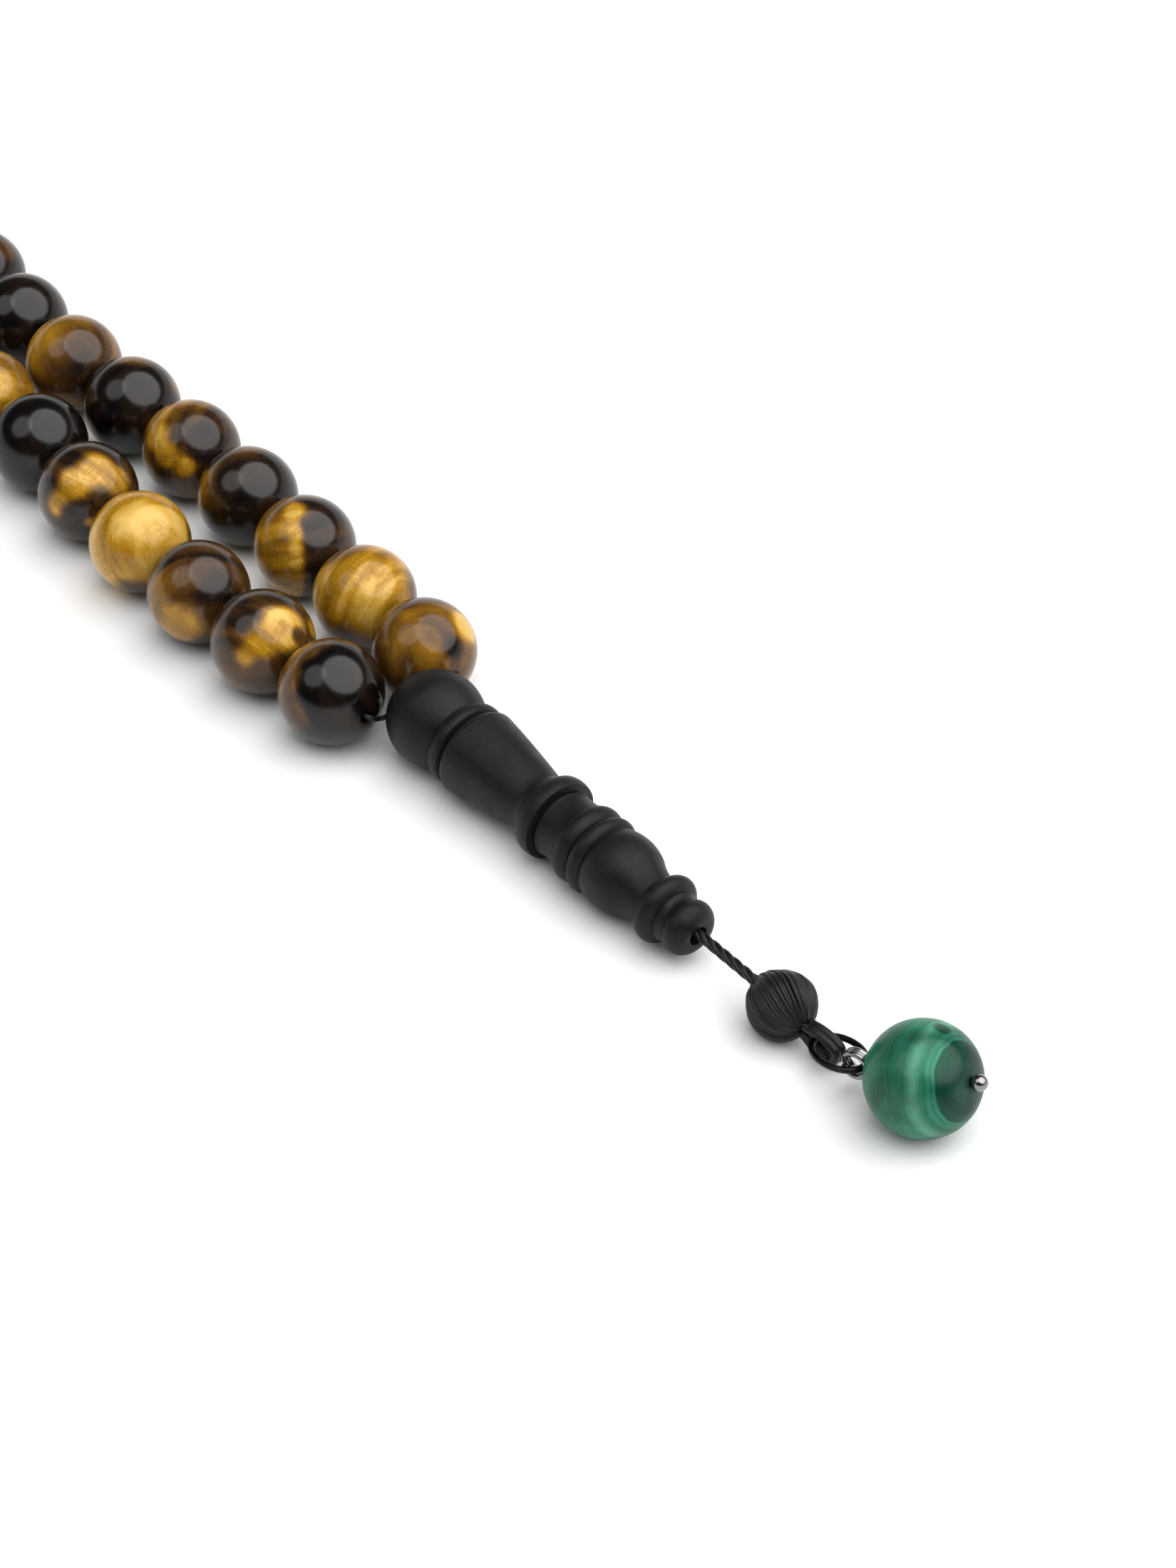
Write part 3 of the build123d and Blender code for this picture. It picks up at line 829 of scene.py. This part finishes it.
pin_line = []
for i in range(eye_steps + 1):
    share = i / eye_steps
    turn = 2 * pi * eye_turns * (1 - share)
    pin_line.append(
        pendant_centre - pin_axis * eye_back + pin_up * (eye_r * (1 - cos(turn)))
        + pin_axis * (-eye_r * sin(turn)) + pin_side * (eye_width * (0.5 - share))
    )
pin_line += [pendant_centre - pin_axis * (eye_back - neck_length) - pin_side * (eye_width * neck_aside)]
head_place = pendant_r + pin_head_r - pin_head_seat
pin_line += [pendant_centre + pin_axis * (x * mm) for x in (-4.6, -2.0, 2.0, 4.0)]
pin_line += [pendant_centre + pin_axis * head_place]
gunmetal = wire_material("gunmetal_wire", (0.17, 0.17, 0.17), (0.36, 0.36, 0.36), 0.16)
pin = bmesh.new()
sweep_tube(pin, pin_line, pin_wire_r, 16)
headpin = finish_mesh("headpin_wire", pin, gunmetal)
pin_ball = lathe(
    "headpin_ball",
    [
        (-pin_head_r * cos(pi * i / pin_ball_steps),
         max(pin_head_r * sin(pi * i / pin_ball_steps), pin_ball_pole_r))
        for i in range(pin_ball_steps + 1)
    ],
    pendant_centre + pin_axis * head_place, pin_axis, 40, gunmetal,
)
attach(headpin, "headpin")
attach(pin_ball, "headpin")
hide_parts("headpin")

# ---- Pendant bead ------------------------------------------------------------------------------------
# A polished ball of malachite. Its bands lie round the end of the pin, light and dark by turns, with a
# dark cap round the pin's head and a dark eye on top.
def malachite_material():
    """Banded green stone under a polished face. The bands go by the angle from the pin's ball end."""
    material, tree, shader = new_material("malachite")
    place = kept_place(tree, "local")
    warp = add_node(tree, "ShaderNodeTexNoise", {"Vector": place, "Scale": 0.35, "Detail": 3.0})
    parts = add_node(tree, "ShaderNodeSeparateXYZ", {0: place})
    share = add_node(tree, "ShaderNodeMath", {0: parts.outputs["X"], 1: pendant_r / mm}, operation="DIVIDE")
    angle = add_node(tree, "ShaderNodeMath", {0: share.outputs[0]}, operation="ARCCOSINE")
    waviness = 0.2
    wavy = add_node(
        tree, "ShaderNodeMath",
        {0: warp.outputs["Fac"], 1: waviness, 2: angle.outputs[0]}, operation="MULTIPLY_ADD",
    )
    place_in_ramp = add_node(
        tree, "ShaderNodeMath", {0: wavy.outputs[0], 1: pi + waviness}, operation="DIVIDE"
    )
    broad = add_node(tree, "ShaderNodeValToRGB", {"Fac": place_in_ramp.outputs[0]})
    fill_ramp(
        broad,
        [
            (0.05, (0.01, 0.04, 0.028)),
            (0.10, (0.025, 0.08, 0.055)),
            (0.15, (0.012, 0.05, 0.034)),
            (0.20, (0.004, 0.04, 0.022)),
            (0.243, (0.004, 0.055, 0.03)),
            (0.256, (0.022, 0.15, 0.09)),
            (0.32, (0.016, 0.13, 0.074)),
            (0.375, (0.085, 0.27, 0.18)),
            (0.41, (0.03, 0.165, 0.1)),
            (0.55, (0.015, 0.118, 0.064)),
            (0.70, (0.02, 0.14, 0.08)),
            (1.0, (0.010, 0.085, 0.05)),
        ],
    )
    fine_place = add_node(tree, "ShaderNodeMath", {0: wavy.outputs[0], 1: 16.0}, operation="MULTIPLY")
    fine = add_node(
        tree, "ShaderNodeTexNoise", {"W": fine_place.outputs[0], "Scale": 1.0, "Detail": 3.0},
        noise_dimensions="1D",
    )
    stripes = from_noise(tree, fine.outputs["Fac"], 0.82, 1.16)
    patches = add_node(tree, "ShaderNodeTexNoise", {"Vector": place, "Scale": 0.28, "Detail": 4.0})
    patch_share = add_node(
        tree, "ShaderNodeMapRange",
        {"Value": patches.outputs["Fac"], "From Min": 0.42, "From Max": 0.62, "To Min": 1.12, "To Max": 0.6},
    )
    layered = add_node(
        tree, "ShaderNodeMath", {0: stripes, 1: patch_share.outputs["Result"]}, operation="MULTIPLY"
    )
    spots = add_node(tree, "ShaderNodeAttribute", attribute_name="spots")
    strength = add_node(
        tree, "ShaderNodeMath", {0: layered.outputs[0], 1: spots.outputs["Fac"]}, operation="MULTIPLY"
    )
    shade = add_node(
        tree, "ShaderNodeVectorMath",
        {0: broad.outputs["Color"], "Scale": strength.outputs[0]}, operation="SCALE",
    )
    tree.links.new(shade.outputs[0], shader.inputs["Base Color"])
    shader.inputs["Roughness"].default_value = 0.4
    shader.inputs["Specular IOR Level"].default_value = 0.0
    shader.inputs["Coat Weight"].default_value = 0.5
    shader.inputs["Coat Roughness"].default_value = 0.2
    shader.inputs["Coat IOR"].default_value = 1.42
    return material


malachite = malachite_material()
pendant_hole_r = 0.35 * mm
pendant_chamfer = 0.1 * mm
pendant_arc_steps = 56
pendant_turn_steps = 112
pendant = lathe(
    "pendant_stone", ball_outline(pendant_r, pendant_hole_r, pendant_chamfer, pendant_arc_steps),
    pendant_centre, pin_axis, pendant_turn_steps, malachite,
)
# A dark eye on top, darker clouds beside it, and a paler place between them and the cap.
spot_patches = place_patches([
    (-0.55, 0.6, 22, 12, 0.6), (-0.25, 0.72, 9, 5, 0.5), (0.1, 0.4, 16, 9, 1.35),
    (-0.35, -0.35, 30, 16, 1.12), (0.25, 0.87, 13, 3, 1.3), (0.25, 0.87, 9, 2.5, 0.3),
])
spots = pendant.data.attributes.new("spots", "FLOAT", "POINT")
for i, v in enumerate(pendant.data.vertices):
    spots.data[i].value = patched_level((v.co - pendant_centre).normalized(), 1.0, spot_patches)
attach(pendant, "pendant")
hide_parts("pendant_bead")

# ---- Table and light ---------------------------------------------------------------------------------
# A white table, a large soft light from the right and a smaller one from the left.
floor_half = 3.0
floor_mesh = bpy.data.meshes.new("table_top")
floor_mesh.from_pydata(
    [(-floor_half, -floor_half, 0), (floor_half, -floor_half, 0), (floor_half, floor_half, 0),
     (-floor_half, floor_half, 0)], [], [(0, 1, 2, 3)]
)
table_white, _, table_shader = new_material("table_white")
table_shader.inputs["Base Color"].default_value = (0.86, 0.86, 0.86, 1)
table_shader.inputs["Roughness"].default_value = 0.75
floor_mesh.materials.append(table_white)
table_top = bpy.data.objects.new("table_top", floor_mesh)
bpy.context.scene.collection.objects.link(table_top)

softbox_distance = 3.0


def softbox(name, direction, half_angle, brightness):
    """A round soft light, seen from the beads under a given half angle."""
    light = bpy.data.lights.new(name, "AREA")
    light.shape = "DISK"
    radius = softbox_distance * tan(radians(half_angle))
    light.size = 2 * radius
    light.energy = brightness * pi * pi * radius**2
    lamp = bpy.data.objects.new(name, light)
    lamp.location = imame_head + direction.normalized() * softbox_distance
    lamp.rotation_euler = direction.to_track_quat("Z", "Y").to_euler()
    bpy.context.scene.collection.objects.link(lamp)


towards_camera = -view_along
softbox("main_softbox", view_right * 0.44 + towards_camera * 0.11 + Vector((0, 0, 0.89)),
        half_angle=42, brightness=3.0)
softbox("side_softbox", view_right * -0.51 + towards_camera * 0.18 + Vector((0, 0, 0.84)),
        half_angle=23, brightness=1.6)

# The pale backdrop reaches higher behind the beads than in front of them.
horizon_lean = Vector((0, 0, 1)) - view_along * 0.12
world = bpy.data.worlds.new("studio")
bpy.context.scene.world = world
world.use_nodes = True
studio = world.node_tree
background = studio.nodes["Background"]
direction = add_node(studio, "ShaderNodeTexCoord")
height = add_node(studio, "ShaderNodeVectorMath", {0: direction.outputs["Generated"], 1: horizon_lean},
                  operation="DOT_PRODUCT")
sky = add_node(studio, "ShaderNodeValToRGB", {"Fac": height.outputs["Value"]})
fill_ramp(sky, [(0.0, (0.95, 0.95, 0.95)), (0.2, (0.85, 0.85, 0.85)), (0.235, (0.05, 0.05, 0.05)),
                (1.0, (0.04, 0.04, 0.04))])
seen = add_node(studio, "ShaderNodeLightPath")
plain = add_node(
    studio, "ShaderNodeMix", {0: seen.outputs["Is Camera Ray"], 6: sky.outputs["Color"], 7: (1, 1, 1, 1)},
    data_type="RGBA",
)
studio.links.new(plain.outputs[2], background.inputs["Color"])
bpy.context.scene.view_settings.view_transform = "Standard"
